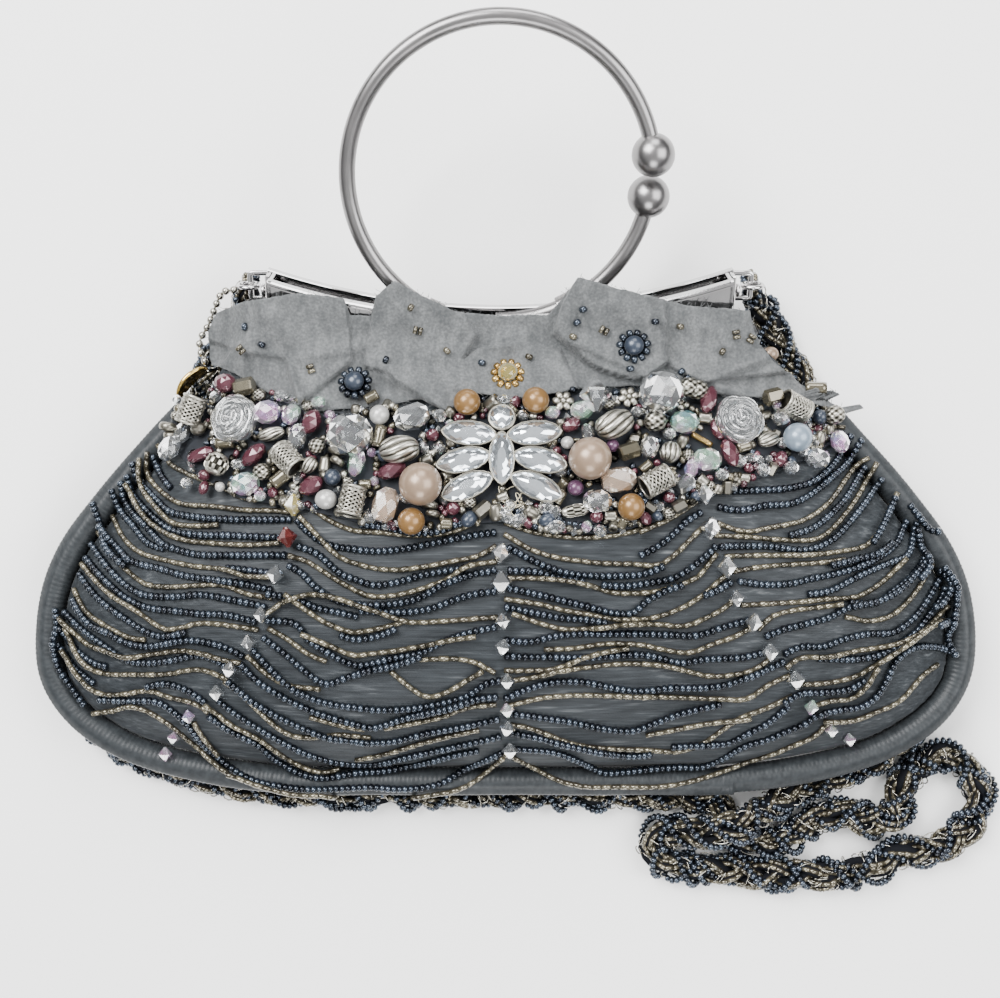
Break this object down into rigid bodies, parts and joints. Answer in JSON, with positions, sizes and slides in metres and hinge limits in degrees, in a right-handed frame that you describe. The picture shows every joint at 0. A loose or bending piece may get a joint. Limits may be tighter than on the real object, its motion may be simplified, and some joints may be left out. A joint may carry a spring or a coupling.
{
  "type": "beaded evening purse",
  "caption": "Soft satin pouch in a curved metal frame with a ring handle, bead work and swags over its front, and a braided bead strap.",
  "frame": {"origin": "on the flat part of the back, under the middle of the pouch; the purse lies on its back", "axes": "+X to the right of the front, +Y from the pouch towards the handle, +Z out of the front"},
  "size_m": [0.2928, 0.2532, 0.0634],
  "materials": {
    "crystal_clear": "clear cut glass",
    "pearl_champagne": "pearly champagne",
    "pearl_gold": "pearly gold",
    "pearl_blue": "pearly blue grey",
    "bead_silver": "antiqued silver",
    "crystal_peach": "rough clear peach glass",
    "crystal_iris": "iridescent glass",
    "glass_mauve": "mauve glass",
    "glass_navy": "navy lined glass and pearl",
    "mixed_beads": "mixed small glass and metal beads on dark cloth",
    "strap_beads": "navy seed, champagne bugle and silver wire strands",
    "satin": "dark slate-grey satin with a fine cross weave",
    "frame_metal": "polished and brushed silver-coloured metal",
    "tag_metal": "plain polished gold colour",
    "chiffon": "fine grey gauze, frayed at its edges"
  },
  "bodies": {
    "root": {"carved_rose_left": "crystal_clear", "carved_rose_right": "crystal_clear", "round_crystal_left": "crystal_clear", "round_crystal_right": "crystal_clear", "bicone_crystal": "crystal_clear", "clear_lump": "crystal_clear", "brooch": "crystal_clear", "large_pearl_left": "pearl_champagne", "large_pearl_right": "pearl_champagne", "gold_pearl_upper_left": "pearl_gold", "gold_pearl_upper_right": "pearl_gold", "gold_pearl_lower_left": "pearl_gold", "gold_pearl_lower_right": "pearl_gold", "blue_pearl": "pearl_blue", "ribbed_bead_left": "bead_silver", "ribbed_bead_right": "bead_silver", "filigree_tube_low_left": "bead_silver", "filigree_tube_low_right": "bead_silver", "filigree_tube_far_left": "bead_silver", "filigree_tube_far_right": "bead_silver", "filigree_tube_left": "bead_silver", "silver_ball": "bead_silver", "daisy_left": "bead_silver", "daisy_right": "bead_silver", "nugget_left": "crystal_peach", "nugget_right": "crystal_peach", "oval_crystal_left": "crystal_iris", "oval_crystal_right": "crystal_iris", "oval_crystal_low": "crystal_iris", "oval_crystal_lilac": "crystal_iris", "mauve_drop_left": "glass_mauve", "mauve_drop_upper_right": "glass_mauve", "mauve_drop_lower_right": "glass_mauve", "back_bead_band": "glass_mauve", "rosette_left": "glass_navy", "rosette_middle": "glass_navy", "rosette_right": "glass_navy", "bead_field_left": "mixed_beads", "bead_field_right": "mixed_beads", "strap_left": "strap_beads", "strap_right": "strap_beads", "front_panel": "satin", "back_panel": "satin", "edge_roll": "satin", "front_frame": "frame_metal", "back_frame": "frame_metal", "hinge_pin_left": "frame_metal", "hinge_pin_right": "frame_metal", "strap_ring_left": "frame_metal", "strap_ring_right": "frame_metal", "tag_chain": "frame_metal", "chain_tag": "tag_metal", "front_chiffon": "chiffon", "back_chiffon": "chiffon"}
  },
  "joints": []
}
